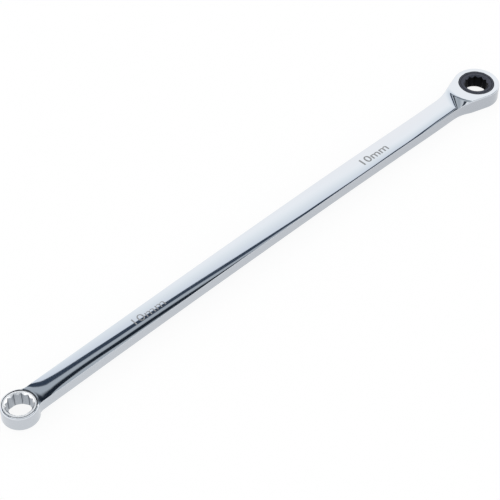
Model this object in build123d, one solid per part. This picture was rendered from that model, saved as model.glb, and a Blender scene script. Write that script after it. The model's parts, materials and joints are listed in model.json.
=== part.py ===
from build123d import *
import math
import os

# Extra-long double-ring ratchet wrench. Millimetres, +Z up.
# The origin is on the ratchet's drive axis, on the plane that the wrench lies on.
# +X points from the handle to the ratchet head, so the shank and the fixed ring lie along -X.
# A name with back, start or end in it is a distance from the drive axis towards the handle.

# Drive
drive_across_flats = 10.0  # the fastener that both ends turn
centre_distance = 277.0  # from the ratchet's axis to the fixed ring's axis
star_turn = 15.0  # degrees from the shank's line to the nearest corner of each star
lead_in = 0.25  # how much the mouth of each bore is wider than its star corners

# Ratchet gear
gear_hub_wall = 2.63
gear_shoulder = 0.2  # from the upper hub out to the roots of the teeth
tooth_height = 0.4
tooth_count = 72
lower_hub_step = 0.8  # the lower hub is this much smaller than the upper one
hub_chamfer = 0.2
hub_recess = 0.1  # both faces of the hub lie this far inside the head's faces

# Ratchet head
head_height = 7.2
head_wall = 1.82
head_edge_radius = 0.5
head_lip = 1.0  # thickness of the rim that keeps the gear in at the top
flank_angle = 17.4  # between each flank of the head and the shank's line
neck_blend_radius = 30.0
flat_beyond_wall = 2.6  # how far the head's flat faces run past its wall towards the shank
hollow_length = 7.0  # from the head's flat faces down to the shank's faces
hollow_sag = 0.17  # how far the hollow dips below a straight slope

# Retaining parts under the gear
snap_ring_inset = 0.4
snap_ring_thickness = 0.55
snap_ring_depth = 0.45  # how far the ring's groove is cut into the head's wall
snap_ring_reach = 0.4  # how far the ring stands out of the wall
snap_ring_gap = 40.0  # degrees
washer_thickness = 0.5

# Pawl and spring
pawl_width = 5.4
pawl_height = 4.1
pawl_length = 3.0
pawl_overtravel = 0.15  # what the pawl's travel has beyond the tooth height
pocket_spare = 0.4
spring_wire = 0.3
spring_outer_radius = 0.95
spring_turns = 6
spring_hole_depth = 4.6
spring_seat_depth = 1.2

# Fixed ring
ring_height = 7.4
ring_wall = 2.08
ring_top_radius = 1.0
ring_bottom_radius = 1.0
ring_neck_radius = 5.0

# Shank, at its three stations. The crown is how far the middle of a broad face stands over its edges.
shank_width_at_ring = 10.5
shank_width_at_bend = 11.1
shank_width_at_head = 11.1
shank_top_at_ring = 7.0
shank_top_at_middle = 7.8
shank_top_at_bend = 7.7
shank_top_at_head = 6.65
shank_thickness_at_ring = 5.0
shank_thickness_at_middle = 5.0
shank_thickness_at_bend = 5.3
shank_thickness_at_head = 5.85
shank_crown_at_ring = 0.07
shank_crown_at_middle = 0.16
shank_crown_at_bend = 0.22
shank_crown_at_head = 0.28
shank_edge_radius = 0.5
shank_bend_length = 65.0  # the gentle bend that brings the shank down to the head's middle
shank_straight = 9.2  # from the head's hollow to that bend
blend_overlap = 0.15  # how deep a concave blend ends inside the shape that it meets

# Clearances
running_clearance = 0.05  # radial, a turning part in its bore
tip_clearance = 0.08  # tooth tips to the wall of the cavity
mesh_clearance = 0.03  # gear teeth to pawl teeth
axial_clearance = 0.05
slide_clearance = 0.05
spring_clearance = 0.2

# Cutting
overcut = 1.0  # how far a cutting tool stands out of what it cuts

# What follows from them
corner_radius = drive_across_flats / 2 / math.cos(math.radians(30))
mouth_radius = corner_radius + lead_in
hub_radius = corner_radius + gear_hub_wall
lower_hub_radius = hub_radius - lower_hub_step
root_radius = hub_radius + gear_shoulder
tip_radius = root_radius + tooth_height
cavity_radius = tip_radius + tip_clearance
head_radius = cavity_radius + head_wall
ring_radius = corner_radius + ring_wall
groove_radius = cavity_radius + snap_ring_depth
washer_bottom = snap_ring_inset + snap_ring_thickness
washer_top = washer_bottom + washer_thickness
rim_bottom = washer_top + axial_clearance
lip_bottom = head_height - head_lip
rim_top = lip_bottom - axial_clearance
pawl_middle = (rim_bottom + rim_top) / 2
pawl_travel = tooth_height + pawl_overtravel
pawl_back = tip_radius + pawl_length
pocket_back = pawl_back + pawl_travel + pocket_spare
spring_hole_radius = spring_outer_radius + spring_clearance
spring_start = pocket_back + spring_hole_depth - axial_clearance
spring_end = pawl_back - spring_seat_depth + axial_clearance
flat_radius = head_radius + flat_beyond_wall
hollow_radius = flat_radius + hollow_length
tooth_angle = 360 / tooth_count


def disc(radius, bottom, top):
    return Pos(0, 0, bottom) * extrude(Circle(radius), top - bottom)


def star_face():
    hexagon = Rot(0, 0, star_turn) * RegularPolygon(corner_radius, 6)
    return hexagon + Rot(0, 0, 30) * hexagon


def star_bore(bottom, top):
    """The twelve-point drive hole as a cutter, with its lead-in cone at both mouths."""
    prism = Pos(0, 0, bottom - overcut) * extrude(star_face(), top - bottom + 2 * overcut)
    outer = mouth_radius + overcut
    inner = drive_across_flats / 2
    depth = mouth_radius - inner
    cone = Cone(inner, outer, outer - inner, align=(Align.CENTER, Align.CENTER, Align.MIN))
    upper = Pos(0, 0, top - depth) * cone
    lower = Pos(0, 0, bottom + depth) * Rot(180, 0, 0) * cone
    return prism + upper + lower


def rounded_disc(radius, height, top_round, bottom_round):
    """A disc whose outer edges are rounded."""
    solid = disc(radius, 0, height)
    solid = fillet(solid.edges().sort_by(Axis.Z)[-1], top_round)
    return fillet(solid.edges().sort_by(Axis.Z)[0], bottom_round)


def tooth_outline(grow):
    """The gear's toothed outline, with every point moved out by grow."""
    points = []
    for tooth in range(tooth_count):
        for radius, share in ((tip_radius, 0.0), (root_radius, 0.5)):
            angle = math.radians(180 + (tooth + share) * tooth_angle)
            reach = radius + grow
            points.append((reach * math.cos(angle), reach * math.sin(angle)))
    return make_face(Polyline(*points, close=True))


def head_outline():
    """Plan of the ratchet head: a disc whose two straight flanks sweep in to the shank.

    The concave arc after each flank ends inside the shank, so the two shapes cross cleanly.
    """
    angle = math.radians(flank_angle)
    waist = shank_width_at_head / 2 - blend_overlap
    touch = (-head_radius * math.sin(angle), head_radius * math.cos(angle))
    corner = touch[0] - (touch[1] - waist) / math.tan(angle)
    leg = neck_blend_radius * math.tan(angle / 2)
    tail = corner - leg
    flank_end = (corner + leg * math.cos(angle), waist + leg * math.sin(angle))
    middle = (tail + neck_blend_radius * math.sin(angle / 2), waist + neck_blend_radius * (1 - math.cos(angle / 2)))
    flank = Line(touch, flank_end)
    blend = ThreePointArc(flank_end, middle, (tail, waist))
    rim = ThreePointArc(touch, (head_radius, 0), (touch[0], -touch[1]))
    end = Line((tail, waist), (tail, -waist))
    return make_face([rim, flank, blend, mirror(flank, Plane.XZ), mirror(blend, Plane.XZ), end])


def hollow_edge(face_height, shank_height):
    """One side of the head's turned profile: its flat face, then a hollow down to the shank and into it."""
    middle_radius = (flat_radius + hollow_radius) / 2
    middle_height = (face_height + shank_height) / 2 + math.copysign(hollow_sag, shank_height - face_height)
    sunk = shank_height + math.copysign(shank_edge_radius, shank_height - face_height)
    return [
        Line((0, face_height), (flat_radius, face_height)),
        ThreePointArc((flat_radius, face_height), (middle_radius, middle_height), (hollow_radius, shank_height)),
        Line((hollow_radius, shank_height), (hollow_radius + shank_edge_radius, sunk)),
        Line((hollow_radius + shank_edge_radius, sunk), (2 * hollow_radius, sunk)),
    ]


def head_envelope():
    """Turned shape about the drive axis that gives the head its flat faces and the hollows beside them."""
    half_crown = shank_crown_at_head / 2
    upper = hollow_edge(head_height, shank_top_at_head - half_crown)
    lower = hollow_edge(0, shank_top_at_head - shank_thickness_at_head + half_crown)
    closing = [Line(upper[0] @ 0, lower[0] @ 0), Line(upper[-1] @ 1, lower[-1] @ 1)]
    return revolve(Plane.XZ * make_face(upper + lower + closing), Axis.Z)


def head_block():
    """The head before its bores, with every rim edge rounded but the two that end inside the shank."""
    block = extrude(head_outline(), head_height)
    faces = block.faces().sort_by(Axis.Z)
    rims = faces[-1].edges().sort_by(Axis.X)[1:] + faces[0].edges().sort_by(Axis.X)[1:]
    return fillet(rims, head_edge_radius) & head_envelope()


def shank_section(x, half_width, top, thickness, crown):
    """Cross-section of the shank: crowned broad faces, straight sides and rounded edges."""
    half = thickness / 2
    shoulder = half - crown
    face = make_face(
        [
            ThreePointArc((-half_width, shoulder), (0, half), (half_width, shoulder)),
            Line((half_width, shoulder), (half_width, -shoulder)),
            ThreePointArc((half_width, -shoulder), (0, -half), (-half_width, -shoulder)),
            Line((-half_width, -shoulder), (-half_width, shoulder)),
        ]
    )
    face = fillet(face.vertices(), shank_edge_radius)
    return Plane((x, 0, top - half), x_dir=(0, 1, 0), z_dir=(1, 0, 0)) * face


def ring_neck_sections():
    """Sections of the concave neck, from inside the fixed ring out to the shank's own width."""
    waist = shank_width_at_ring / 2
    reach = ring_radius - blend_overlap + ring_neck_radius
    blend_centre = math.sqrt(reach**2 - (waist + ring_neck_radius) ** 2)
    blend_end = math.asin(blend_centre / reach)
    sections = []
    for share in (1.0, 0.75, 0.5, 0.25, 0.0):
        angle = blend_end * share
        along = blend_centre - ring_neck_radius * math.sin(angle)
        half_width = waist + ring_neck_radius * (1 - math.cos(angle))
        height = (shank_top_at_ring, shank_thickness_at_ring, shank_crown_at_ring)
        sections.append((along - centre_distance, half_width, *height))
    return sections


def shank_bend_sections(start, end):
    """Sections of the gentle bend between two stations, with an even start and finish."""
    sections = []
    steps = 6
    for step in range(steps + 1):
        along = step / steps
        eased = (1 - math.cos(math.pi * along)) / 2
        shares = (along, eased, eased, eased, eased)
        sections.append(tuple(a + (b - a) * share for a, b, share in zip(start, end, shares)))
    return sections


def shank():
    """The handle: a neck at the fixed ring, a long bowed stretch, a gentle bend and a straight run into the head."""
    neck = ring_neck_sections()
    bow_start = (neck[-1][0] + ring_radius, *neck[-1][1:])
    bend_end_shape = (shank_width_at_head / 2, shank_top_at_head, shank_thickness_at_head, shank_crown_at_head)
    bend_end = (-hollow_radius - shank_straight, *bend_end_shape)
    bend_start_shape = (shank_width_at_bend / 2, shank_top_at_bend, shank_thickness_at_bend, shank_crown_at_bend)
    bend_start = (bend_end[0] - shank_bend_length, *bend_start_shape)
    middle_width = (shank_width_at_ring + shank_width_at_bend) / 2
    middle_shape = (middle_width / 2, shank_top_at_middle, shank_thickness_at_middle, shank_crown_at_middle)
    bow_middle = ((bow_start[0] + bend_start[0]) / 2, *middle_shape)
    head_end = (-flat_radius, *bend_end_shape)
    bend = shank_bend_sections(bend_start, bend_end)
    runs = [neck, [neck[-1], bow_start], [bow_start, bow_middle, bend_start], bend, [bend_end, head_end]]
    solid = None
    for run in runs:
        stretch = loft([shank_section(*station) for station in run])
        solid = stretch if solid is None else solid + stretch
    return solid


def wrench_body():
    """One forging: both heads and the shank, with everything that is cut into them."""
    ring_place = Pos(-centre_distance, 0, 0)
    body = head_block() + shank()
    body += ring_place * rounded_disc(ring_radius, ring_height, ring_top_radius, ring_bottom_radius)
    body -= ring_place * star_bore(0, ring_height)
    body -= disc(hub_radius + running_clearance, lip_bottom - overcut, head_height + overcut)
    body -= disc(cavity_radius, -overcut, lip_bottom)
    body -= disc(groove_radius, snap_ring_inset - axial_clearance, washer_bottom)
    body -= pawl_pocket()
    body -= spring_hole(pocket_back - overcut, pocket_back + spring_hole_depth)
    return body


def pawl_block(back, grow):
    """The pawl's outer block, which the pocket repeats with its clearance."""
    length = back - root_radius
    size = (length, pawl_width + 2 * grow, pawl_height + 2 * grow)
    return Pos(-(root_radius + back) / 2, 0, pawl_middle) * Box(*size)


def pawl_pocket():
    return pawl_block(pocket_back, slide_clearance)


def spring_hole(near, far):
    """A round hole along the shank, behind the pawl."""
    length = far - near
    return Pos(-(near + far) / 2, 0, pawl_middle) * Rot(0, 90, 0) * Cylinder(spring_hole_radius, length)


def pawl():
    """A block whose front has the teeth that lie between the gear's teeth."""
    block = pawl_block(pawl_back, 0)
    gear_space = extrude(tooth_outline(mesh_clearance), head_height)
    return block - gear_space - spring_hole(pawl_back - spring_seat_depth, pawl_back + overcut)


def pawl_spring():
    """A coil spring along the shank, from its hole in the neck into its seat in the pawl."""
    coil_radius = spring_outer_radius - spring_wire / 2
    length = spring_start - spring_end - spring_wire
    place = Plane((-spring_start + spring_wire / 2, 0, pawl_middle), x_dir=(0, 0, 1), z_dir=(1, 0, 0))
    path = Helix(length / spring_turns, length, coil_radius)
    section = Plane(path @ 0, z_dir=path % 0) * Circle(spring_wire / 2)
    return place * sweep(section, path)


def ratchet_gear():
    """The turning drive ring: a hub that shows at both faces and a toothed rim between them."""
    hub = disc(hub_radius, rim_bottom, head_height - hub_recess)
    hub = chamfer(hub.edges().sort_by(Axis.Z)[-1], hub_chamfer)
    lower_hub = disc(lower_hub_radius, hub_recess, rim_bottom + overcut)
    lower_hub = chamfer(lower_hub.edges().sort_by(Axis.Z)[0], hub_chamfer)
    rim = Pos(0, 0, rim_bottom) * extrude(tooth_outline(0), rim_top - rim_bottom)
    return rim + hub + lower_hub - star_bore(hub_recess, head_height - hub_recess)


def cover_washer():
    """The flat washer that the gear's rim runs on."""
    plate = disc(cavity_radius - running_clearance, washer_bottom, washer_top)
    return plate - disc(lower_hub_radius + running_clearance, -overcut, head_height)


def snap_ring():
    """The open spring ring in the head's groove. Its gap faces away from the shank."""
    outer = groove_radius - running_clearance
    ring = disc(outer, snap_ring_inset, washer_bottom)
    ring -= disc(cavity_radius - snap_ring_reach, -overcut, head_height)
    half_gap = math.radians(snap_ring_gap / 2)
    reach = 2 * outer
    corner = (reach, reach * math.tan(half_gap))
    wedge = extrude(make_face(Polyline((0, 0), corner, (corner[0], -corner[1]), close=True)), head_height)
    return ring - wedge


subparts = {
    "wrench_body": wrench_body,
    "ratchet_gear": ratchet_gear,
    "pawl": pawl,
    "pawl_spring": pawl_spring,
    "cover_washer": cover_washer,
    "snap_ring": snap_ring,
}

os.makedirs("parts", exist_ok=True)
for name, make in subparts.items():
    export_step(make(), f"parts/{name}.step")
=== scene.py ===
import json
import math

import bmesh
import bpy
import numpy as np
from mathutils import Matrix, Vector

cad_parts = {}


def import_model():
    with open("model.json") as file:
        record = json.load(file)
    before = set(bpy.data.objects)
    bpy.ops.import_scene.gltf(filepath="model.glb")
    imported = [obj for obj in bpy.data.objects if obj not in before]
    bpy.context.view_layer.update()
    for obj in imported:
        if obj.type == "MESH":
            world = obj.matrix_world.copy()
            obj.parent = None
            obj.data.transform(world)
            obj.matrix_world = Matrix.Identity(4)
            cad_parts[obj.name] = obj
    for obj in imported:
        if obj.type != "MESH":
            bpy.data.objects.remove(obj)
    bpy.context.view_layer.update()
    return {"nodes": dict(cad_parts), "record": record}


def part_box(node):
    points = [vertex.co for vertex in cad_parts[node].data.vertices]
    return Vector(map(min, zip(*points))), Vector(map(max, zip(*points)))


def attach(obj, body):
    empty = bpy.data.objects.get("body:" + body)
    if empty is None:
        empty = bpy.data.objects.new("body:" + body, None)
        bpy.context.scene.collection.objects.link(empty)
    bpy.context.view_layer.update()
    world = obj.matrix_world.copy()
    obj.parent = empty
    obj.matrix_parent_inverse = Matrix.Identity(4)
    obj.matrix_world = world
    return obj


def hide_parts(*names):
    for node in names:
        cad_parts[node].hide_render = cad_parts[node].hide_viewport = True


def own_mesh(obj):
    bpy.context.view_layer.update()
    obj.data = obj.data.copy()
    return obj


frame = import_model()

# Sizes are in millimetres in the part's frame: +Z up, the ratchet's axis at the origin, the shank and
# the fixed ring along -X. Meshes are written in metres.
MM = 0.001


def node_box(node):
    low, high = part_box(node)
    return low / MM, high / MM


def mount_place(name):
    mounts = frame["record"]["mounts"]
    return next(Vector(m["pos_m"]) / MM for m in mounts if m["name"] == name)


body_low, body_high = node_box("wrench_body")
gear_low, gear_high = node_box("ratchet_gear")
clip_low, clip_high = node_box("snap_ring")
washer_low, washer_high = node_box("cover_washer")
pawl_low, pawl_high = node_box("pawl")
spring_low, spring_high = node_box("pawl_spring")

# Space around a piece that turns, slides or is put in
running_gap = 0.05

# Drive: a twelve-point star with a small lead-in at both mouths. A ridge of each star lies on the
# shank's line.
across_flats = 10.0
star_turn = 15.0
lead_in = 0.25
corner_radius = across_flats / 2 / math.cos(math.radians(30))

# Ratchet gear
hub_wall = 2.63
hub_radius = corner_radius + hub_wall
hub_chamfer = 0.2
ring_line_in = 7.28
ring_line_out = 7.52
ring_line_slope = 0.06
ring_line_depth = 0.05
lower_hub_step = 0.8
lower_hub_radius = hub_radius - lower_hub_step
root_step = 0.2
root_radius = hub_radius + root_step
tip_radius = gear_high.x
tooth_count = 72
rim_bottom = washer_high.z + running_gap
rim_top = 6.15

# Ratchet head
head_height = 7.2
head_radius = body_high.x
head_edge = 0.5
flank_angle = math.radians(17.4)
flank_blend_radius = 30.0
flat_margin = 2.6
flat_radius = head_radius + flat_margin
hollow_length = 7.6
hollow_radius = flat_radius + hollow_length
hollow_sag = 0.17

# The hollow's slope, as shares of its full slope at distances outward from the flat face
crease_stations = (0.0, 0.15, 1.05, 1.35)
crease_slopes = (0.0, 0.35, 0.58, 1.0)

# The gear's cavity in the head, with the lip over it and the snap ring's groove
cavity_radius = washer_high.x + running_gap
lip_thickness = 1.0
lip_bottom = head_height - lip_thickness
lip_radius = hub_radius + running_gap
lip_chamfer = 0.1
groove_radius = clip_high.y + running_gap
groove_low = clip_low.z - running_gap
groove_high = clip_high.z

# Fixed ring: a ground face, slightly off centre, with a shallow groove around it painted dark as shade,
# and rounded edges. Its top leans down towards the shank by the slope ring_lean, and its rim lies lower
# than its face by ring_shoulder.
ring_x = mount_place("fixed_ring_drive").x
ring_radius = ring_x - body_low.x
ring_height = 7.4
ring_lean = 0.026
ring_face_radius = 6.86
ring_face_shift = 0.3
ring_face_side = math.radians(45)
ring_groove_spread = 0.5
ring_groove_side = math.radians(15)
ring_groove_depth = 0.14
ring_groove_slope = 0.03
ring_shoulder = 0.04
ring_top_edge = 0.85
ring_bottom_edge = 1.2

# Neck between the fixed ring and the shank. The ring's rim follows it up to one angle off the shank's
# line, in degrees, and leaves it by the other.
neck_angle_full = 42.0
neck_angle_end = 53.0
neck_blend_radius = 5.0
neck_sink = 0.06
neck_dip = 0.04
neck_dip_length = 6.0
rim_under_neck = 0.002

# Shank. Its edges are rounded less than the head's, and the change lies between two distances from the
# ratchet's axis.
shank_edge = 0.15
edge_change_start = 12.0
edge_change_end = 20.0

# The crown of the shank's broad faces, and how much further they fall at their very edges
crown_stations = (-272.0, -260.0, -225.0, -200.0, -154.0, -97.0, -67.0, -45.0, -28.0, -18.0)
crowns = (0.02, 0.06, 0.10, 0.12, 0.12, 0.17, 0.26, 0.33, 0.28, 0.27)
edge_falls = (0.0, 0.01, 0.0, 0.0, 0.01, 0.01, 0.01, 0.01, 0.03, 0.04)
edge_fall_power = 8

# The shank's half width and the heights of its upper and lower faces
width_stations = (-268.0, -177.6, -94.7, -18.0)
half_widths = (5.25, 5.40, 5.55, 5.55)
top_stations = (-272.0, -268.0, -262.0, -254.0, -230.0, -177.6, -120.0, -94.7, -62.2, -34.0, -18.0)
top_heights = (6.90, 6.96, 7.04, 7.14, 7.42, 7.80, 7.82, 7.69, 7.20, 6.66, 6.62)
bottom_stations = (-272.0, -262.0, -230.0, -160.0, -94.7, -62.2, -34.0, -18.0)
bottom_heights = (2.0, 2.05, 2.44, 2.81, 2.40, 1.60, 0.82, 0.80)

# Pawl pocket and spring hole
pocket_spare = 0.95
pocket_overlap = 1.0
spring_hole_gap = 0.2
spring_hole_radius = spring_high.y + spring_hole_gap
spring_hole_back = spring_low.x - running_gap
spring_hole_overlap = 0.5

# Pawl spring. Its first and last turns are closed.
spring_wire = 0.3
spring_turns = 8
spring_closed_pitch = 0.31

# Size marks, as the middle of each, the height of its letters and how much their strokes are widened.
# The letters stand a little over the face and reach a little into it.
mark_text = "10mm"
marks = ((-72.2, 0.0, 4.15, 0.012), (-209.1, 0.3, 3.75, -0.008))
mark_length = 16.4
mark_relief = 0.012
mark_root = 0.04
mark_grid = 0.4
mark_curve_steps = 5
mark_extrusion = 0.1
mark_weld = 1e-5
mark_cut = 1e-6

# A noise field's middle range, which the finishes spread over their own values
noise_low = 0.3
noise_high = 0.7

# Black oxide: the pitch of its turned circles and their strength beside the mottling, its tints where it
# is dark and light, and how far its roughness varies
mottle_scale = 600
turning_pitch = 0.35
turning_share = 0.1
oxide_dark = (0.78, 0.86, 1.12)
oxide_light = (1.05, 1.15, 1.5)
oxide_smoother = 0.04
oxide_rougher = 0.06

# The camera, matched to the photograph: where it stands, and its directions to the right and ahead
camera_lens = 114.03
camera_place = (-485.24, -340.66, 488.2)
camera_right = (0.71162, -0.70256, -0.00303)
camera_ahead = (0.49076, 0.50017, -0.71343)
camera_clip = 10.0

# The floor lies just under the wrench, so that the two never share a plane. It glows at nearly the
# level of white and scatters a little light, which shows the wrench's shadow.
floor_gap = 0.05
floor_reach = 3000.0
floor_grey = 0.12
floor_glow = 0.88

# The studio's light in bands, by their height in degrees above the plane square to this axis. The dark
# bands make the dark lines on the chrome.
world_axis = (0.0275, -0.1643, 1.0)
world_strength = 1.4
navy = (0.05, 0.07, 0.105)
near_black = (0.015, 0.022, 0.034)
between_lines = (0.54, 0.58, 0.62)
soft_grey = (0.80, 0.82, 0.84)
slate = (0.05, 0.06, 0.08)
lamp_white = (1.25, 1.25, 1.25)
world_bands = (
    (30.0, (1.33, 1.30, 1.28)),
    (36.0, (1.31, 1.30, 1.29)),
    (37.5, (1.25, 1.26, 1.26)),
    (39.0, (1.15, 1.18, 1.19)),
    (41.65, (0.97, 1.01, 1.08)),
    (41.8, navy),
    (42.95, navy),
    (43.1, between_lines),
    (44.05, between_lines),
    (44.2, near_black),
    (45.25, near_black),
    (45.4, (0.58, 0.62, 0.65)),
    (49.0, (0.50, 0.54, 0.57)),
    (52.5, soft_grey),
    (53.5, soft_grey),
    (54.5, slate),
    (57.0, slate),
    (58.0, lamp_white),
    (66.0, lamp_white),
    (72.0, (0.85, 0.86, 0.87)),
)

# Points along the dense plan outline, and across the crease of the head's hollow
rim_points = 2000
flank_points = 1500
blend_points = 1500
side_points = 6000
neck_points = 1200
crease_points = 2000

# Mesh of the forging: a band inside the outline holds the edges, and columns of faces cross from there
# to the middle line. They are closest in the head's hollow and at the neck, and spread out between.
band_depth = 0.6
edge_lead = 0.03
across_steps = 30
rim_columns = 91
flat_columns = 18
hollow_columns = 52
hollow_surround = 3.0
head_spread_columns = 30
head_spread_length = 15.0
head_spread_power = 1.4
middle_columns = 140
neck_columns = 80
neck_length = 22.0
neck_power = 1.3
wall_rows = 8

# Around each end the columns are arcs, which straighten between two distances outside it
head_arcs_full = 2.0
head_arcs_end = 22.0
ring_arcs_full = 3.0
ring_arcs_end = 20.0

# Mesh of the turned and round pieces
edge_points = 9
ring_edge_points = 13
ring_side_rows = 6
ring_columns = 288
columns_per_tooth = 8
rod_columns = 32
spring_turn_steps = 36
wire_columns = 12

# Points closer than this are one, and edges sharper than these angles, in degrees, stay sharp
weld_distance = 0.0015
plain_sharp_angle = 28
body_sharp_angle = 20
coil_sharp_angle = 50

# Limits of the materials' zones: how far a zone reaches past its surface, how upright its faces are,
# and how wide the star's corners painted dark as shade are, in degrees each way
zone_touch = 0.01
zone_reach = 0.1
head_side_reach = 0.3
hub_side_reach = 0.12
underside_skin = 0.02
side_slope = 0.4
wall_slope = 0.3
corner_shade = 1.4


def smooth_curve(at, stations, values):
    """A smooth line through the stations' values, level beyond both ends."""
    stations, values = np.array(stations), np.array(values)
    slopes = np.gradient(values, stations)
    slopes[0] = slopes[-1] = 0
    at = np.clip(at, stations[0], stations[-1])
    index = np.clip(np.searchsorted(stations, at, side="right") - 1, 0, len(stations) - 2)
    span = stations[index + 1] - stations[index]
    t = (at - stations[index]) / span
    start = (1 + 2 * t) * (1 - t) ** 2 * values[index] + t * (1 - t) ** 2 * span * slopes[index]
    return start + t**2 * (3 - 2 * t) * values[index + 1] - t**2 * (1 - t) * span * slopes[index + 1]


def ease(value, start, end):
    """0 before start, 1 after end, and smooth between."""
    t = np.clip((value - start) / (end - start), 0, 1)
    return t * t * (3 - 2 * t)


def half_width(x):
    """Half the shank's width at a place along it."""
    return smooth_curve(x, width_stations, half_widths)


def arc_points(centre, radius, start, end, count):
    """Points along an arc in plan."""
    angle = np.linspace(start, end, count)
    return centre + radius * np.stack([np.cos(angle), np.sin(angle)], 1)


def half_outline():
    """Dense plan outline on the +Y side, from the head's tip to where the neck meets the ring."""
    touch = head_radius * np.array([-math.sin(flank_angle), math.cos(flank_angle)])
    rim = arc_points(np.zeros(2), head_radius, 0, math.pi / 2 + flank_angle, rim_points)
    waist = half_widths[-1]
    corner = touch[0] - (touch[1] - waist) / math.tan(flank_angle)
    tail = corner - flank_blend_radius * math.tan(flank_angle / 2)
    blend_centre = np.array([tail, waist + flank_blend_radius])
    blend_start, blend_end = flank_angle - math.pi / 2, -math.pi / 2
    blend = arc_points(blend_centre, flank_blend_radius, blend_start, blend_end, blend_points)
    flank = touch + (blend[0] - touch) * np.linspace(0, 1, flank_points)[:, None]
    neck_waist = half_widths[0]
    reach = ring_radius - neck_sink + neck_blend_radius
    neck_along = math.sqrt(reach**2 - (neck_waist + neck_blend_radius) ** 2)
    neck_centre = np.array([ring_x + neck_along, neck_waist + neck_blend_radius])
    neck_angle = math.atan2(neck_centre[1], neck_along)
    neck = arc_points(neck_centre, neck_blend_radius, -math.pi / 2, neck_angle - math.pi, neck_points)
    side_x = np.linspace(tail, neck_centre[0], side_points)
    side = np.stack([side_x, half_width(side_x)], 1)
    return np.concatenate([rim, flank[1:], blend[1:], side[1:], neck[1:]])


outline = half_outline()
flank_line = outline[outline[:, 0] < -head_radius * math.sin(flank_angle)][::-1]


def crown(x, y):
    """How far the broad faces fall away from their middle line, and faster beside their edges."""
    share = y / np.interp(x, flank_line[:, 0], flank_line[:, 1])
    edge_fall = smooth_curve(x, crown_stations, edge_falls) * share**edge_fall_power
    return smooth_curve(x, crown_stations, crowns) * share**2 + edge_fall


crease_at = np.linspace(0, hollow_radius - flat_radius, crease_points)
crease_fall = np.cumsum(np.interp(crease_at, crease_stations, crease_slopes))
crease_fall = (crease_fall - crease_fall[0]) / (crease_fall[-1] - crease_fall[0])


def fall_from_head(x, y):
    """How much of the shank's level is reached in the head's hollow, and how much of its crown.

    The hollow's slope sets in over a short crease beside the flat face.
    """
    t = np.interp(np.hypot(x, y) - flat_radius, crease_at, crease_fall)
    return t, 1 - (1 - t) ** 2


def top_height(x, y):
    """Height of the forging's upper face, before its edges are rounded."""
    level = smooth_curve(x, top_stations, top_heights)
    t, crown_share = fall_from_head(x, y)
    level -= neck_dip * np.clip(1 - (np.hypot(x - ring_x, y) - ring_radius) / neck_dip_length, 0, 1) ** 2
    sag = 4 * hollow_sag * t * (1 - t)
    return head_height + (level - head_height) * t - sag - crown(x, y) * crown_share


def bottom_height(x, y):
    """Height of the forging's lower face, before its edges are rounded."""
    level = smooth_curve(x, bottom_stations, bottom_heights)
    t, crown_share = fall_from_head(x, y)
    return level * t + 4 * hollow_sag * t * (1 - t) + crown(x, y) * crown_share


def stations():
    """Outline points and inward directions at the mesh's stations, and where the head's rim ends."""
    line = outline
    step = np.gradient(line, axis=0)
    inward = np.stack([-step[:, 1], step[:, 0]], 1) / np.linalg.norm(step, axis=1)[:, None]
    inset = line + inward * band_depth
    along = np.concatenate([[0], np.cumsum(np.linalg.norm(np.diff(line, axis=0), axis=1))])
    rim_end = head_radius * (math.pi / 2 + flank_angle)
    rim = np.linspace(0, rim_end, rim_columns)
    from_head = np.hypot(inset[:, 0], inset[:, 1])
    first = np.searchsorted(along, rim_end)
    surround = hollow_radius + hollow_surround
    head_spread = np.linspace(0, 1, head_spread_columns)[1:] ** head_spread_power
    rings = np.concatenate([
        np.linspace(head_radius - band_depth, flat_radius, flat_columns)[1:],
        np.linspace(flat_radius, surround, hollow_columns)[1:],
        surround + head_spread_length * head_spread,
    ])
    near_head = np.interp(rings, from_head[first:], along[first:])
    near_ring = along[-1] - neck_length * np.linspace(1, 0, neck_columns) ** neck_power
    middle = np.linspace(near_head[-1], near_ring[0], middle_columns)
    at = np.concatenate([rim, near_head, middle[1:-1], near_ring])

    def pick(values):
        return np.stack([np.interp(at, along, values[:, k]) for k in (0, 1)], 1)

    return pick(line), pick(inward), len(rim) - 1


def crossing(inset, shares):
    """The plan line from an inset point to the centre line: an arc about an end's axis near that end."""
    x, y = inset
    straight = np.stack([np.full_like(shares, x), y * (1 - shares)], 1)
    head_reach, head_angle = math.hypot(x, y), math.atan2(y, -x) * (1 - shares)
    head = head_reach * np.stack([-np.cos(head_angle), np.sin(head_angle)], 1)
    ring_reach, ring_angle = math.hypot(x - ring_x, y), math.atan2(y, x - ring_x) * (1 - shares)
    ring = ring_reach * np.stack([np.cos(ring_angle), np.sin(ring_angle)], 1)
    ring[:, 0] += ring_x
    head_share = 1 - ease(head_reach, hollow_radius + head_arcs_full, hollow_radius + head_arcs_end)
    ring_share = 1 - ease(ring_reach, ring_radius + ring_arcs_full, ring_radius + ring_arcs_end)
    return straight + head_share * (head - straight) + ring_share * (ring - straight)


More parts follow.
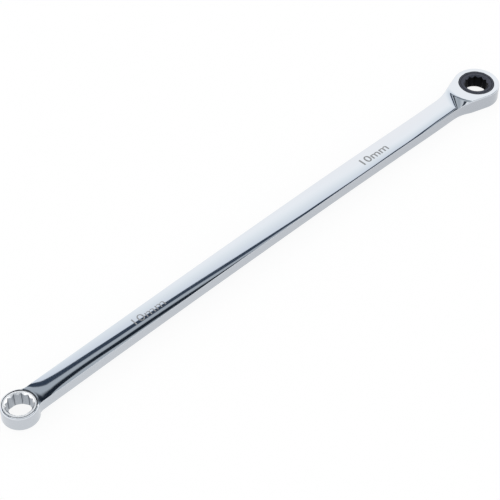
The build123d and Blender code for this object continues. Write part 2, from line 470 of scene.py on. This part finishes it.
class Sheet:
    """Collects grids of points and joins them into one closed mesh."""

    def __init__(self):
        self.points = []
        self.faces = []

    def grid(self, rows, flip=False):
        """Adds quads between neighbouring rows of points."""
        rows = np.array(rows)
        count, width = rows.shape[:2]
        first = sum(len(p) for p in self.points)
        self.points.append(rows.reshape(-1, 3))
        for i in range(count - 1):
            for j in range(width - 1):
                a = first + i * width + j
                face = (a, a + 1, a + width + 1, a + width)
                self.faces.append(face[::-1] if flip else face)

    def face(self, points):
        """Adds one face."""
        first = sum(len(p) for p in self.points)
        self.points.append(np.array(points))
        self.faces.append(tuple(range(first, first + len(points))))

    def mirrored(self):
        """Adds the same faces on the -Y side."""
        points = np.concatenate(self.points)
        count = len(points)
        self.faces += [tuple(i + count for i in face[::-1]) for face in self.faces]
        self.points = [points, points * np.array([1, -1, 1])]

    def build(self, name, sharp_angle=plain_sharp_angle):
        """Makes an object of everything collected."""
        mesh = bpy.data.meshes.new(name)
        mesh.from_pydata((np.concatenate(self.points) * MM).tolist(), [], self.faces)
        return closed_object(name, mesh, sharp_angle)


def closed_object(name, mesh, sharp_angle):
    """Welds a mesh, turns its faces outward, and shades it smooth up to an angle."""
    made = bmesh.new()
    made.from_mesh(mesh)
    bmesh.ops.remove_doubles(made, verts=made.verts, dist=weld_distance * MM)
    bmesh.ops.dissolve_degenerate(made, edges=made.edges, dist=weld_distance * MM)
    bmesh.ops.recalc_face_normals(made, faces=made.faces)
    made.to_mesh(mesh)
    made.free()
    mesh.shade_smooth()
    mesh.set_sharp_from_angle(angle=math.radians(sharp_angle))
    piece = bpy.data.objects.new(name, mesh)
    bpy.context.scene.collection.objects.link(piece)
    return piece


def edge_band(point, inward, edge_radius):
    """Profile at one station, from the upper face over its rounded edge and down to the lower face."""
    turn = np.linspace(math.pi / 2, 0, edge_points)
    depth = np.concatenate([[band_depth, edge_radius + edge_lead], edge_radius * (1 - np.cos(turn))])
    drop = np.concatenate([[0, 0], edge_radius * (1 - np.sin(turn))])
    plan = point + inward * depth[:, None]
    upper = np.column_stack([plan, top_height(plan[:, 0], plan[:, 1]) - drop])
    lower = np.column_stack([plan, bottom_height(plan[:, 0], plan[:, 1]) + drop])[::-1]
    share = np.linspace(0, 1, wall_rows)[1:-1, None]
    wall = upper[-1] + (lower[0] - upper[-1]) * share
    return np.concatenate([upper, wall, lower])


def forging_shell():
    """The ratchet head with its cavity and the shank up to the fixed ring, as one closed mesh."""
    sheet = Sheet()
    points, inwards, touch = stations()
    shank_share = ease(-points[:, 0], edge_change_start, edge_change_end)
    radii = head_edge + (shank_edge - head_edge) * shank_share
    bands = [edge_band(p, n, r) for p, n, r in zip(points, inwards, radii)]
    sheet.grid(bands)
    shares = np.linspace(0, 1, across_steps + 1)
    insets = points + inwards * band_depth
    lines = [crossing(inset, shares) for inset in insets[touch:]]
    ends = []
    for height, flip in ((top_height, True), (bottom_height, False)):
        rows = [np.column_stack([line, height(line[:, 0], line[:, 1])]) for line in lines]
        sheet.grid(rows, flip)
        ends.append(rows[-1])
    sheet.grid(ends)
    sheet.face(bands[-1])
    columns = np.concatenate([insets[:touch], lines[0]])
    angles = np.arctan2(columns[:, 1], columns[:, 0])
    sheet.grid([cavity_profile(angle) for angle in angles])
    sheet.mirrored()
    return sheet.build("forging")


def turned_point(radius, angle, height):
    """A point from its place in a turned profile."""
    return (radius * math.cos(angle), radius * math.sin(angle), height)


def cavity_profile(angle):
    """The head's flat faces and everything that is turned inside it, from the upper face down."""
    rim = head_radius - band_depth
    profile = [
        (rim, head_height),
        ((rim + lip_radius) / 2, head_height),
        (lip_radius + lip_chamfer, head_height),
        (lip_radius, head_height - lip_chamfer),
        (lip_radius, lip_bottom),
        (cavity_radius, lip_bottom),
        (cavity_radius, groove_high),
        (groove_radius, groove_high),
        (groove_radius, groove_low),
        (cavity_radius, groove_low),
        (cavity_radius, lip_chamfer),
        (cavity_radius + lip_chamfer, 0),
        ((rim + cavity_radius) / 2, 0),
        (rim, 0),
    ]
    return [turned_point(radius, angle, height) for radius, height in profile]


def star_radius(angle):
    """Radius of the twelve-point star at an angle."""
    offset = abs((math.degrees(angle) - star_turn) % 30 - 15)
    return across_flats / 2 / math.cos(math.radians(15 + offset))


def bore_profile(angle, bottom, top):
    """Lower mouth, star wall and upper mouth of the drive bore."""
    star = star_radius(angle)
    mouth = corner_radius + lead_in
    depth = mouth - star
    return [(mouth, bottom), (star, bottom + depth), (star, top - depth), (mouth, top)]


def turned(name, profile_at, centre_x=0.0, columns=ring_columns):
    """A closed ring whose profile may change with the angle."""
    sheet = Sheet()
    rows = []
    for column in range(columns + 1):
        angle = 2 * math.pi * (column % columns) / columns
        profile = profile_at(angle)
        rows.append([turned_point(radius, angle, height) for radius, height in profile + profile[:1]])
    rows = np.array(rows)
    rows[:, :, 0] += centre_x
    sheet.grid(rows)
    return sheet.build(name)


def ring_face_reach(angle):
    """Outer radius of the ground face, which is a little off centre."""
    return ring_face_radius - ring_face_shift * (1 + np.cos(angle - ring_face_side)) / 2


def ring_groove_reach(angle):
    """Outer radius of the groove and of the shade painted in it, which are widest where the neck meets the
    ring.
    """
    towards_neck = np.maximum(np.cos(angle - ring_groove_side), 0) ** 2
    return ring_radius - ring_top_edge + ring_groove_spread * towards_neck


def fixed_ring_profile(angle):
    """Ground face, the groove around it, the rounded rim and the side, then the bore.

    Towards the shank the rim takes the neck's height, so that the neck runs up to the groove.
    """
    low = ring_height - ring_shoulder - ring_top_edge
    groove_bottom = ring_height - ring_groove_depth
    face, groove_reach = ring_face_reach(angle), ring_groove_reach(angle)
    profile = [
        (face, ring_height),
        (face + ring_groove_slope, groove_bottom),
        (groove_reach - ring_groove_slope, groove_bottom),
    ]
    edge = ring_radius - groove_reach
    rim_rows = range(len(profile), len(profile) + ring_edge_points - 1)
    for turn in np.linspace(0, math.pi / 2, ring_edge_points):
        radius = ring_radius - edge * (1 - math.sin(turn))
        profile.append((radius, low + ring_top_edge * math.cos(turn)))
    for row in range(1, ring_side_rows):
        profile.append((ring_radius, low + (ring_bottom_edge - low) * row / ring_side_rows))
    for turn in np.linspace(0, math.pi / 2, edge_points):
        radius = ring_radius - ring_bottom_edge * (1 - math.cos(turn))
        profile.append((radius, ring_bottom_edge * (1 - math.sin(turn))))
    profile += bore_profile(angle, 0, ring_height)
    lean = ring_lean * math.cos(angle) / ring_height
    profile = [(radius, height * (1 - lean * radius)) for radius, height in profile]
    off_neck = abs(math.degrees((angle + math.pi) % (2 * math.pi) - math.pi))
    neck_share = 1 - ease(off_neck, neck_angle_full, neck_angle_end)
    for row in rim_rows:
        radius, height = profile[row]
        x, y = ring_x + radius * math.cos(angle), radius * math.sin(angle)
        neck = top_height(x, y) - rim_under_neck
        profile[row] = (radius, height + (neck - height) * neck_share)
    return profile


def gear_profile(angle):
    """Upper face and hub, the toothed rim, the lower hub and face, the bore, then a turned line."""
    tooth = abs((math.degrees(angle) / 360 * tooth_count + 0.5) % 1 - 0.5) * 2
    rim = tip_radius + (root_radius - tip_radius) * tooth
    bottom, top = gear_low.z, gear_high.z
    profile = [
        (ring_line_out, top),
        (hub_radius - hub_chamfer, top),
        (hub_radius, top - hub_chamfer),
        (hub_radius, rim_top),
        (rim, rim_top),
        (rim, rim_bottom),
        (lower_hub_radius, rim_bottom),
        (lower_hub_radius, bottom + hub_chamfer),
        (lower_hub_radius - hub_chamfer, bottom),
    ]
    groove = [
        (ring_line_in, top),
        (ring_line_in + ring_line_slope, top - ring_line_depth),
        (ring_line_out - ring_line_slope, top - ring_line_depth),
    ]
    return profile + bore_profile(angle, bottom, top) + groove


def boolean(piece, other, operation):
    """Joins another closed mesh to the piece, or cuts it away, and deletes it."""
    modifier = piece.modifiers.new(operation, "BOOLEAN")
    modifier.operation = operation
    modifier.solver = "EXACT"
    modifier.object = other
    modifier.material_mode = "TRANSFER"
    mesh = bpy.data.meshes.new_from_object(piece.evaluated_get(bpy.context.evaluated_depsgraph_get()))
    piece.modifiers.remove(modifier)
    piece.data = mesh
    bpy.data.objects.remove(other)


def block(low, high):
    """A closed box used as a cutter."""
    sheet = Sheet()
    xs, ys, zs = zip(low, high)
    corners = [(x, y, z) for x in xs for y in ys for z in zs]
    for face in ((0, 1, 3, 2), (4, 6, 7, 5), (0, 4, 5, 1), (2, 3, 7, 6), (0, 2, 6, 4), (1, 5, 7, 3)):
        sheet.face([corners[i] for i in face])
    return sheet.build("cutter")


def rod(start_x, end_x, height, radius):
    """A closed round cutter along X."""
    sheet = Sheet()
    turn = np.linspace(0, 2 * math.pi, rod_columns + 1)
    y, z = radius * np.cos(turn), height + radius * np.sin(turn)
    ends = [np.column_stack([np.full_like(turn, x), y, z]) for x in (start_x, end_x)]
    sheet.grid(ends)
    sheet.face(ends[0][:-1])
    sheet.face(ends[1][:-1])
    return sheet.build("cutter")


def pawl_space(body):
    """Cuts the pawl's pocket and the spring's hole behind it."""
    grow = np.array([0, running_gap, running_gap])
    back = pawl_low.x - pocket_spare
    low = np.array([back, pawl_low.y, pawl_low.z]) - grow
    high = np.array([pocket_overlap - cavity_radius, pawl_high.y, pawl_high.z]) + grow
    boolean(body, block(low, high), "DIFFERENCE")
    middle = (pawl_low.z + pawl_high.z) / 2
    hole = rod(spring_hole_back, back + spring_hole_overlap, middle, spring_hole_radius)
    boolean(body, hole, "DIFFERENCE")


def chromed_body():
    """The forging: the shell and the fixed ring joined, with the pawl's space cut out."""
    body = forging_shell()
    ring = turned("ring", fixed_ring_profile, ring_x)
    boolean(body, ring, "UNION")
    pawl_space(body)
    body.data.set_sharp_from_angle(angle=math.radians(body_sharp_angle))
    body.name = "chromed_body"
    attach(body, "wrench_body")
    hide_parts("wrench_body")
    paint(body, body_materials(), body_zones(body.data))


def polygon_values(mesh, name):
    """The x, y and z of a property of every polygon."""
    values = np.empty(len(mesh.polygons) * 3, dtype=np.float32)
    mesh.polygons.foreach_get(name, values)
    return values.reshape(-1, 3).T


def paint(piece, materials, zones):
    """Gives each polygon the material of its zone."""
    piece.data.materials.clear()
    for material in materials:
        piece.data.materials.append(material)
    piece.data.polygons.foreach_set("material_index", zones.astype(np.int32))
    piece.data.update()


def near_corner(x, y):
    """Whether a point's angle is close to one of the star's twelve corners."""
    offset = np.abs((np.degrees(np.arctan2(y, x)) - star_turn + 15) % 30 - 15)
    return offset < corner_shade


def body_zones(mesh):
    """0 polished, 1 ground ring face, 2 star wall, 3 painted corner shade, 4 painted groove shade, 5
    inside the head, 6 shaded sides.
    """
    x, y, z = polygon_values(mesh, "center") / MM
    upward = polygon_values(mesh, "normal")[2]
    from_ring = np.hypot(x - ring_x, y)
    from_drive = np.hypot(x, y)
    zones = np.zeros(len(x), dtype=int)
    beside = (from_ring > ring_radius - zone_reach) & (from_drive > head_radius - head_side_reach)
    # Painted shade: the sides take a colour that darkens towards the head.
    zones[beside & (np.abs(upward) < side_slope)] = 6
    angle = np.arctan2(y, x - ring_x)
    face, groove_reach = ring_face_reach(angle), ring_groove_reach(angle)
    ground = np.where(z > ring_height / 2, face, ring_radius - ring_bottom_edge)
    zones[from_ring < ground + zone_touch] = 1
    wall = (from_ring < corner_radius + zone_reach) & (z > lead_in) & (z < ring_height - lead_in)
    wall &= np.abs(upward) < wall_slope
    zones[wall] = 2
    # Painted shade: thin dark lines down the star's corners.
    zones[wall & near_corner(x - ring_x, y)] = 3
    # Painted shade: the groove around the ground face is painted dark, widest towards the neck.
    zones[(from_ring > face + zone_touch) & (from_ring < groove_reach + zone_touch) & (z > lip_bottom)] = 4
    inside = (z < lip_bottom + zone_reach) & (z > underside_skin)
    zones[inside & (from_drive < groove_radius + zone_touch)] = 5
    pocket = (np.abs(y) < pawl_high.y + zone_reach) & (x < 0) & (x > spring_hole_back - zone_reach)
    zones[pocket & (z > pawl_low.z - zone_reach) & (z < pawl_high.z + zone_reach)] = 5
    return zones


def drive_gear():
    """The ratchet's ring, with painted shade, near black, in its bore, on its sides and in its turned
    line.
    """
    gear = turned("drive_gear", gear_profile, columns=columns_per_tooth * tooth_count)
    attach(gear, "ratchet_gear")
    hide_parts("ratchet_gear")
    x, y, z = polygon_values(gear.data, "center") / MM
    upward = polygon_values(gear.data, "normal")[2]
    radius = np.hypot(x, y)
    zones = np.zeros(len(x), dtype=int)
    # Painted shade: the bore, the hub's side, all below the rim's top and the turned line are painted near
    # black.
    zones[(radius < corner_radius + zone_reach) & (np.abs(upward) < wall_slope)] = 1
    zones[(radius > hub_radius - hub_side_reach) | (z < rim_top)] = 1
    zones[(radius > ring_line_in) & (radius < ring_line_out) & (z > rim_top)] = 1
    face = black_oxide("black_oxide", level=0.062, roughness=0.33)
    # Painted shade: a near-black colour for the bore, the sides and the turned line.
    bore = black_oxide("black_oxide_bore_painted_shade", level=0.006, roughness=0.5)
    paint(gear, [face, bore], zones)


def coil_spring():
    """The pawl's spring, from its hole in the neck into the pawl."""
    wire_radius = spring_wire / 2
    coil_radius = spring_high.y - wire_radius
    middle = (spring_low.z + spring_high.z) / 2
    start, end = spring_low.x + wire_radius, spring_high.x - wire_radius
    turn = np.linspace(0, spring_turns, spring_turns * spring_turn_steps + 1)
    turn_stations = (0, 1, spring_turns - 1, spring_turns)
    places = (start, start + spring_closed_pitch, end - spring_closed_pitch, end)
    x = smooth_curve(turn, turn_stations, places)
    angle = 2 * math.pi * turn
    outward = np.stack([np.zeros_like(x), -np.sin(angle), np.cos(angle)], 1)
    line = np.array([0, 0, middle]) + coil_radius * outward
    line[:, 0] = x
    along = np.gradient(line, axis=0)
    along /= np.linalg.norm(along, axis=1)[:, None]
    sideways = np.cross(along, outward)
    rows = []
    for around in np.linspace(0, 2 * math.pi, wire_columns + 1):
        rows.append(line + wire_radius * (math.cos(around) * outward + math.sin(around) * sideways))
    rows[-1] = rows[0]
    sheet = Sheet()
    sheet.grid(rows)
    sheet.face([row[0] for row in rows[:-1]])
    sheet.face([row[-1] for row in rows[:-1]])
    spring = sheet.build("coil_spring", coil_sharp_angle)
    spring.data.materials.append(spring_steel())
    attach(spring, "wrench_body")
    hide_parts("pawl_spring")
    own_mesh(spring)


def letters(name, stroke_offset):
    """The mark's letters as a mesh, at the font's own size."""
    curve = bpy.data.curves.new(name, "FONT")
    curve.body = mark_text
    curve.align_x = "CENTER"
    curve.align_y = "CENTER"
    curve.resolution_u = mark_curve_steps
    curve.extrude = mark_extrusion
    curve.offset = stroke_offset
    text = bpy.data.objects.new(name, curve)
    bpy.context.scene.collection.objects.link(text)
    mesh = bpy.data.meshes.new_from_object(text.evaluated_get(bpy.context.evaluated_depsgraph_get()))
    bpy.data.objects.remove(text)
    return mesh


def cut_in_grid(made, middle_x, middle_y, mark_height):
    """Cuts the letters along a fine grid, so that they can follow the shank's curved face."""
    along, across = Vector((1, 0, 0)), Vector((0, 1, 0))
    for normal, half, centre in ((along, mark_length / 2, middle_x), (across, mark_height / 2, middle_y)):
        for cut in np.arange(centre - half + mark_grid, centre + half, mark_grid):
            parts = made.verts[:] + made.edges[:] + made.faces[:]
            place = normal * cut
            bmesh.ops.bisect_plane(made, geom=parts, plane_co=place, plane_no=normal, dist=mark_cut)


def size_mark(name, material, middle_x, middle_y, mark_height, stroke_offset):
    """The size marked into the shank's upper face, as thin letters that follow the face."""
    mesh = letters(name, stroke_offset)
    points = np.array([vertex.co for vertex in mesh.vertices])
    low, high = points.min(0), points.max(0)
    scale = (mark_length / (high[0] - low[0]), mark_height / (high[1] - low[1]))
    middle = (low + high) / 2
    made = bmesh.new()
    made.from_mesh(mesh)
    bmesh.ops.remove_doubles(made, verts=made.verts, dist=mark_weld)
    for vertex in made.verts:
        vertex.co.x = (vertex.co.x - middle[0]) * scale[0] + middle_x
        vertex.co.y = (vertex.co.y - middle[1]) * scale[1] + middle_y
    cut_in_grid(made, middle_x, middle_y, mark_height)
    for vertex in made.verts:
        level = mark_relief if vertex.co.z > 0 else -mark_root
        vertex.co.z = float(top_height(vertex.co.x, vertex.co.y)) + level
        vertex.co *= MM
    bmesh.ops.recalc_face_normals(made, faces=made.faces)
    made.to_mesh(mesh)
    made.free()
    piece = bpy.data.objects.new(name, mesh)
    bpy.context.scene.collection.objects.link(piece)
    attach(piece, "wrench_body")
    mesh.materials.append(material)


def new_material(name):
    """A material with its nodes and links."""
    material = bpy.data.materials.new(name)
    material.use_nodes = True
    return material, material.node_tree.nodes, material.node_tree.links


def noise(nodes, links, scale, detail=3.0, stretch=(1, 1, 1)):
    """A noise field fixed to the piece, with its scale in waves for each metre."""
    place = nodes.new("ShaderNodeTexCoord")
    mapping = nodes.new("ShaderNodeMapping")
    mapping.inputs["Scale"].default_value = stretch
    links.new(place.outputs["Object"], mapping.inputs["Vector"])
    field = nodes.new("ShaderNodeTexNoise")
    field.inputs["Scale"].default_value = scale
    field.inputs["Detail"].default_value = detail
    links.new(mapping.outputs["Vector"], field.inputs["Vector"])
    return field.outputs["Fac"]


def spread(nodes, links, value, low, high):
    """Turns a noise field's middle range into values from low to high."""
    range_node = nodes.new("ShaderNodeMapRange")
    range_node.inputs["From Min"].default_value = noise_low
    range_node.inputs["From Max"].default_value = noise_high
    range_node.inputs["To Min"].default_value = low
    range_node.inputs["To Max"].default_value = high
    links.new(value, range_node.inputs["Value"])
    return range_node.outputs["Result"]


def blend(nodes, links, share, first, second):
    """A colour between two, by a share."""
    mix = nodes.new("ShaderNodeMix")
    mix.data_type = "RGBA"
    mix.inputs["A"].default_value = (*first, 1)
    mix.inputs["B"].default_value = (*second, 1)
    links.new(share, mix.inputs["Factor"])
    return mix.outputs["Result"]


def arithmetic(nodes, links, operation, value, other=None):
    """A maths node on a value, and on a second value or a number where there is one."""
    node = nodes.new("ShaderNodeMath")
    node.operation = operation
    links.new(value, node.inputs[0])
    if isinstance(other, float):
        node.inputs[1].default_value = other
    elif other is not None:
        links.new(other, node.inputs[1])
    return node.outputs[0]


def bump(nodes, links, value, shader, depth):
    """Raises the surface by a field, with its depth in millimetres."""
    relief = nodes.new("ShaderNodeBump")
    relief.inputs["Distance"].default_value = depth * MM
    links.new(value, relief.inputs["Height"])
    links.new(relief.outputs["Normal"], shader.inputs["Normal"])


def metal(name, first, second, scale, roughness, stretch=(1, 1, 1), metallic=1.0, relief=0.0):
    """A metal whose colour and roughness vary with noise between two values."""
    material, nodes, links = new_material(name)
    shader = nodes["Principled BSDF"]
    shader.inputs["Metallic"].default_value = metallic
    field = noise(nodes, links, scale, detail=4.0, stretch=stretch)
    share = spread(nodes, links, field, 0, 1)
    links.new(blend(nodes, links, share, first, second), shader.inputs["Base Color"])
    links.new(spread(nodes, links, field, *roughness), shader.inputs["Roughness"])
    if relief:
        bump(nodes, links, field, shader, relief)
    return material


def chrome():
    first, second = (0.595, 0.63, 0.675), (0.605, 0.64, 0.685)
    return metal("chrome_plate", first, second, scale=60, roughness=(0.012, 0.03), stretch=(0.25, 1, 1))


def side_chrome_painted_shade():
    """The sides are rougher than the faces, and painted darker as shade, most towards the ratchet head."""
    near_ring, near_head = (0.55, 0.58, 0.62), (0.465, 0.49, 0.53)
    roughness = (0.06, 0.12)
    material = metal("chrome_plate_side_painted_shade", near_ring, near_head, 60, roughness, stretch=(0.25, 1, 1))
    nodes, links = material.node_tree.nodes, material.node_tree.links
    place = nodes.new("ShaderNodeTexCoord")
    apart = nodes.new("ShaderNodeSeparateXYZ")
    links.new(place.outputs["Object"], apart.inputs["Vector"])
    along = nodes.new("ShaderNodeMapRange")
    along.inputs["From Min"].default_value = ring_x * MM
    along.inputs["From Max"].default_value = 0
    links.new(apart.outputs["X"], along.inputs["Value"])
    # The colour follows the place along the wrench, in place of the noise: painted shade, darkest at the
    # head.
    mix = next(node for node in nodes if node.bl_idname == "ShaderNodeMix")
    links.new(along.outputs["Result"], mix.inputs["Factor"])
    return material


def ground_chrome():
    first, second = (0.82, 0.835, 0.86), (0.87, 0.885, 0.90)
    return metal("chrome_plate_ground", first, second, scale=900, roughness=(0.2, 0.3), relief=0.0008)


def star_chrome():
    first, second = (0.38, 0.41, 0.45), (0.46, 0.49, 0.53)
    return metal("chrome_plate_star", first, second, scale=500, roughness=(0.25, 0.4), stretch=(1, 1, 0.1))


# Painted shade: the dark colour down the star's corners.
def star_corner_painted_shade():
    first, second = (0.10, 0.11, 0.13), (0.15, 0.16, 0.18)
    return metal("chrome_plate_corner_painted_shade", first, second, scale=500, roughness=(0.35, 0.5))


# Painted shade: the dark colour of the groove around the ring's ground face.
def groove_painted_shade():
    first, second = (0.05, 0.055, 0.065), (0.09, 0.095, 0.105)
    return metal("chrome_plate_groove_painted_shade", first, second, scale=700, roughness=(0.4, 0.5))


def inner_steel():
    first, second = (0.16, 0.165, 0.175), (0.24, 0.245, 0.255)
    return metal("forging_inside", first, second, scale=400, roughness=(0.35, 0.5), relief=0.004)


def spring_steel():
    first, second = (0.50, 0.49, 0.47), (0.60, 0.59, 0.57)
    return metal("spring_steel", first, second, scale=800, roughness=(0.2, 0.3))


def etched_steel():
    first, second = (0.24, 0.25, 0.26), (0.34, 0.35, 0.36)
    return metal("etched_mark", first, second, scale=2500, roughness=(0.5, 0.65), metallic=0.6)


def hardened_steel():
    first, second = (0.26, 0.26, 0.27), (0.34, 0.34, 0.35)
    return metal("hardened_steel", first, second, scale=500, roughness=(0.28, 0.42), stretch=(1, 0.1, 1))


def washer_steel():
    first, second = (0.085, 0.085, 0.093), (0.12, 0.12, 0.13)
    return metal("washer_steel", first, second, scale=500, roughness=(0.35, 0.5))


def snap_ring_steel():
    first, second = (0.05, 0.05, 0.055), (0.075, 0.075, 0.08)
    return metal("snap_ring_steel", first, second, scale=700, roughness=(0.5, 0.65))


def black_oxide(name, level, roughness):
    """Black oxide with the faint circles that turning leaves on a face."""
    material, nodes, links = new_material(name)
    shader = nodes["Principled BSDF"]
    shader.inputs["Metallic"].default_value = 1
    place = nodes.new("ShaderNodeTexCoord")
    flat = nodes.new("ShaderNodeVectorMath")
    flat.operation = "MULTIPLY"
    flat.inputs[1].default_value = (1, 1, 0)
    links.new(place.outputs["Object"], flat.inputs[0])
    radius = nodes.new("ShaderNodeVectorMath")
    radius.operation = "LENGTH"
    links.new(flat.outputs["Vector"], radius.inputs[0])
    waves_per_metre = 2 * math.pi / (turning_pitch * MM)
    waves = arithmetic(nodes, links, "MULTIPLY", radius.outputs["Value"], waves_per_metre)
    circle = arithmetic(nodes, links, "SINE", waves)
    mottle = noise(nodes, links, mottle_scale)
    both = nodes.new("ShaderNodeMath")
    both.operation = "MULTIPLY_ADD"
    both.inputs[1].default_value = turning_share
    links.new(circle, both.inputs[0])
    links.new(mottle, both.inputs[2])
    share = spread(nodes, links, both.outputs[0], 0, 1)
    dark = tuple(level * part for part in oxide_dark)
    light = tuple(level * part for part in oxide_light)
    links.new(blend(nodes, links, share, dark, light), shader.inputs["Base Color"])
    low, high = roughness - oxide_smoother, roughness + oxide_rougher
    links.new(spread(nodes, links, both.outputs[0], low, high), shader.inputs["Roughness"])
    return material


def body_materials():
    """The forging's finishes, in the order of the numbers in body_zones."""
    return [
        chrome(),
        ground_chrome(),
        star_chrome(),
        star_corner_painted_shade(),
        groove_painted_shade(),
        inner_steel(),
        side_chrome_painted_shade(),
    ]


def node_materials():
    """Materials of the CAD nodes that show inside the head."""
    made = {"pawl": hardened_steel(), "cover_washer": washer_steel(), "snap_ring": snap_ring_steel()}
    for node, material in made.items():
        for slot in frame["nodes"][node].material_slots:
            slot.material = material


def view_settings():
    """Shows colours as they are written."""
    bpy.context.scene.view_settings.view_transform = "Standard"


def camera():
    """The camera at the photograph's viewing angle."""
    data = bpy.data.cameras.new("camera")
    data.lens = camera_lens
    data.clip_start = camera_clip * MM
    made = bpy.data.objects.new("camera", data)
    right, ahead = Vector(camera_right), Vector(camera_ahead)
    turn = Matrix((right, right.cross(ahead), -ahead)).transposed()
    made.matrix_world = Matrix.Translation(Vector(camera_place) * MM) @ turn.to_4x4()
    bpy.context.scene.collection.objects.link(made)
    bpy.context.scene.camera = made


def floor_material():
    """White to the eye and in reflections, with the wrench's shadow on it, and clear from below."""
    material, nodes, links = new_material("floor")
    nodes.clear()
    output = nodes.new("ShaderNodeOutputMaterial")
    diffuse = nodes.new("ShaderNodeBsdfDiffuse")
    diffuse.inputs["Color"].default_value = (floor_grey, floor_grey, floor_grey, 1)
    glow = nodes.new("ShaderNodeEmission")
    path = nodes.new("ShaderNodeLightPath").outputs
    seen = arithmetic(nodes, links, "ADD", path["Is Camera Ray"], path["Is Glossy Ray"])
    seen = arithmetic(nodes, links, "ADD", seen, path["Is Transmission Ray"])
    level = arithmetic(nodes, links, "MULTIPLY", seen, floor_glow)
    links.new(level, glow.inputs["Strength"])
    both = nodes.new("ShaderNodeAddShader")
    links.new(diffuse.outputs[0], both.inputs[0])
    links.new(glow.outputs[0], both.inputs[1])
    clear = nodes.new("ShaderNodeBsdfTransparent")
    side = nodes.new("ShaderNodeNewGeometry")
    choice = nodes.new("ShaderNodeMixShader")
    links.new(side.outputs["Backfacing"], choice.inputs[0])
    links.new(both.outputs[0], choice.inputs[1])
    links.new(clear.outputs[0], choice.inputs[2])
    links.new(choice.outputs[0], output.inputs["Surface"])
    return material


def floor():
    """The plain floor, which isn't part of the wrench."""
    mesh = bpy.data.meshes.new("floor")
    reach = floor_reach * MM
    corners = [(-reach, -reach, 0), (reach, -reach, 0), (reach, reach, 0), (-reach, reach, 0)]
    mesh.from_pydata(corners, [], [(0, 1, 2, 3)])
    made = bpy.data.objects.new("floor", mesh)
    made.location.z = -floor_gap * MM
    bpy.context.scene.collection.objects.link(made)
    mesh.materials.append(floor_material())


def world():
    """The studio's light: one ramp of colours over the height above a tilted plane."""
    made = bpy.data.worlds.new("studio")
    bpy.context.scene.world = made
    made.use_nodes = True
    nodes, links = made.node_tree.nodes, made.node_tree.links
    background = nodes["Background"]
    place = nodes.new("ShaderNodeTexCoord")
    height = nodes.new("ShaderNodeVectorMath")
    height.operation = "DOT_PRODUCT"
    height.inputs[1].default_value = Vector(world_axis).normalized()
    links.new(place.outputs["Generated"], height.inputs[0])
    angle = arithmetic(nodes, links, "ARCSINE", height.outputs["Value"])
    share = nodes.new("ShaderNodeMapRange")
    lowest, highest = world_bands[0][0], world_bands[-1][0]
    share.inputs["From Min"].default_value = math.radians(lowest)
    share.inputs["From Max"].default_value = math.radians(highest)
    links.new(angle, share.inputs["Value"])
    ramp = nodes.new("ShaderNodeValToRGB")
    links.new(share.outputs["Result"], ramp.inputs["Fac"])
    elements = ramp.color_ramp.elements
    while len(elements) < len(world_bands):
        elements.new(0.5)
    for element, (elevation, colour) in zip(elements, world_bands):
        element.position = (elevation - lowest) / (highest - lowest)
        element.color = (*(channel / world_strength for channel in colour), 1)
    background.inputs["Strength"].default_value = world_strength
    links.new(ramp.outputs["Color"], background.inputs["Color"])


view_settings()
camera()
chromed_body()
drive_gear()
coil_spring()
etched = etched_steel()
for number, mark in enumerate(marks, 1):
    size_mark(f"size_mark_{number}", etched, *mark)
node_materials()
floor()
world()
